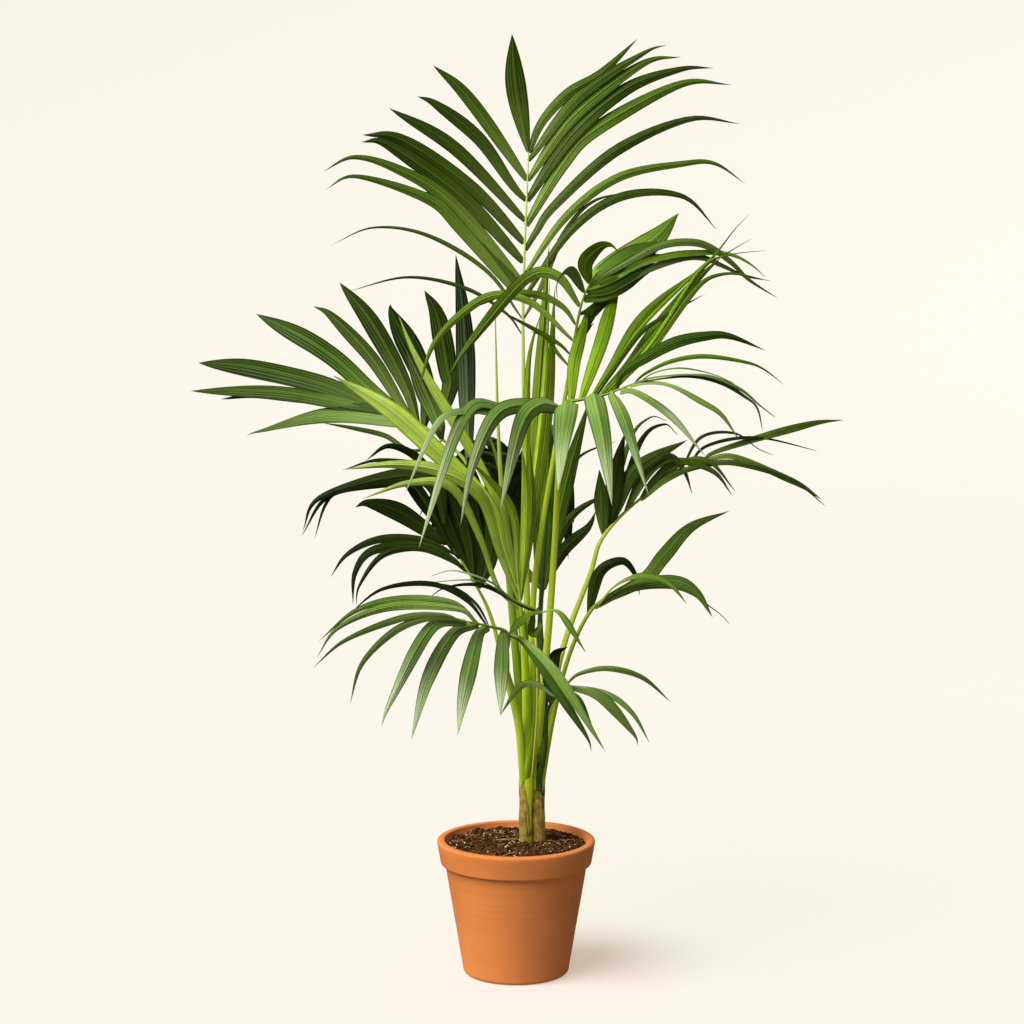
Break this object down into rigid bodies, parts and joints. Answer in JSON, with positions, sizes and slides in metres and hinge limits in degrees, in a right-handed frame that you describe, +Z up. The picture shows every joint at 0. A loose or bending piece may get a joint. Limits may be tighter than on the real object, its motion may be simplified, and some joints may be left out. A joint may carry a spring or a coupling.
{
  "type": "potted kentia palm",
  "caption": "Indoor feather palm with arching fronds of long narrow leaflets on slender green stalks, standing in a tapered clay pot of soil.",
  "frame": {"origin": "centre of the pot's flat underside, on the floor it stands on", "axes": "+Z up along the plant; +X to the right and -Y towards the viewer, as seen from the front"},
  "size_m": [1.007, 0.806, 1.355],
  "materials": {
    "terracotta": "matt unglazed clay",
    "soil": "dark crumbly potting mix",
    "stem": "smooth green-brown sheath",
    "stalk": "smooth yellow-green stalk",
    "leaf_dark": "glossy dark green leaf",
    "leaf_mid": "glossy mid green leaf",
    "leaf_bright": "satin yellow-green young leaf"
  },
  "bodies": {
    "root": {"pot": "terracotta", "soil": "soil", "stem_front_left": "stem", "stem_right": "stem", "stem_back": "stem", "crown_stalk": "stalk", "arching_stalk": "stalk", "near_stalk": "stalk", "near_rib": "stalk", "young_stalk": "stalk", "left_fan_stalk": "stalk", "low_left_stalk": "stalk", "front_left_stalk": "stalk", "small_front_stalk": "stalk", "low_right_stalk": "stalk", "right_stalk": "stalk", "lower_right_stalk": "stalk", "mid_back_stalk": "stalk", "back_left_stalk": "stalk", "back_left_rib": "stalk", "back_right_stalk": "stalk", "back_right_rib": "stalk", "spear_stalk": "stalk", "crown_left": "leaf_dark", "crown_right": "leaf_dark", "arching_left": "leaf_mid", "arching_right": "leaf_mid", "near_left": "leaf_mid", "near_right": "leaf_mid", "young_left": "leaf_bright", "young_right": "leaf_bright", "left_fan_left": "leaf_dark", "left_fan_right": "leaf_dark", "low_left_left": "leaf_dark", "low_left_right": "leaf_dark", "front_left_left": "leaf_mid", "front_left_right": "leaf_mid", "small_front_left": "leaf_mid", "small_front_right": "leaf_mid", "low_right_left": "leaf_mid", "low_right_right": "leaf_mid", "right_left": "leaf_dark", "right_right": "leaf_dark", "lower_right_left": "leaf_dark", "lower_right_right": "leaf_dark", "mid_back_left": "leaf_dark", "mid_back_right": "leaf_dark", "back_left_left": "leaf_dark", "back_left_right": "leaf_dark", "back_right_left": "leaf_dark", "back_right_right": "leaf_dark"}
  },
  "joints": []
}
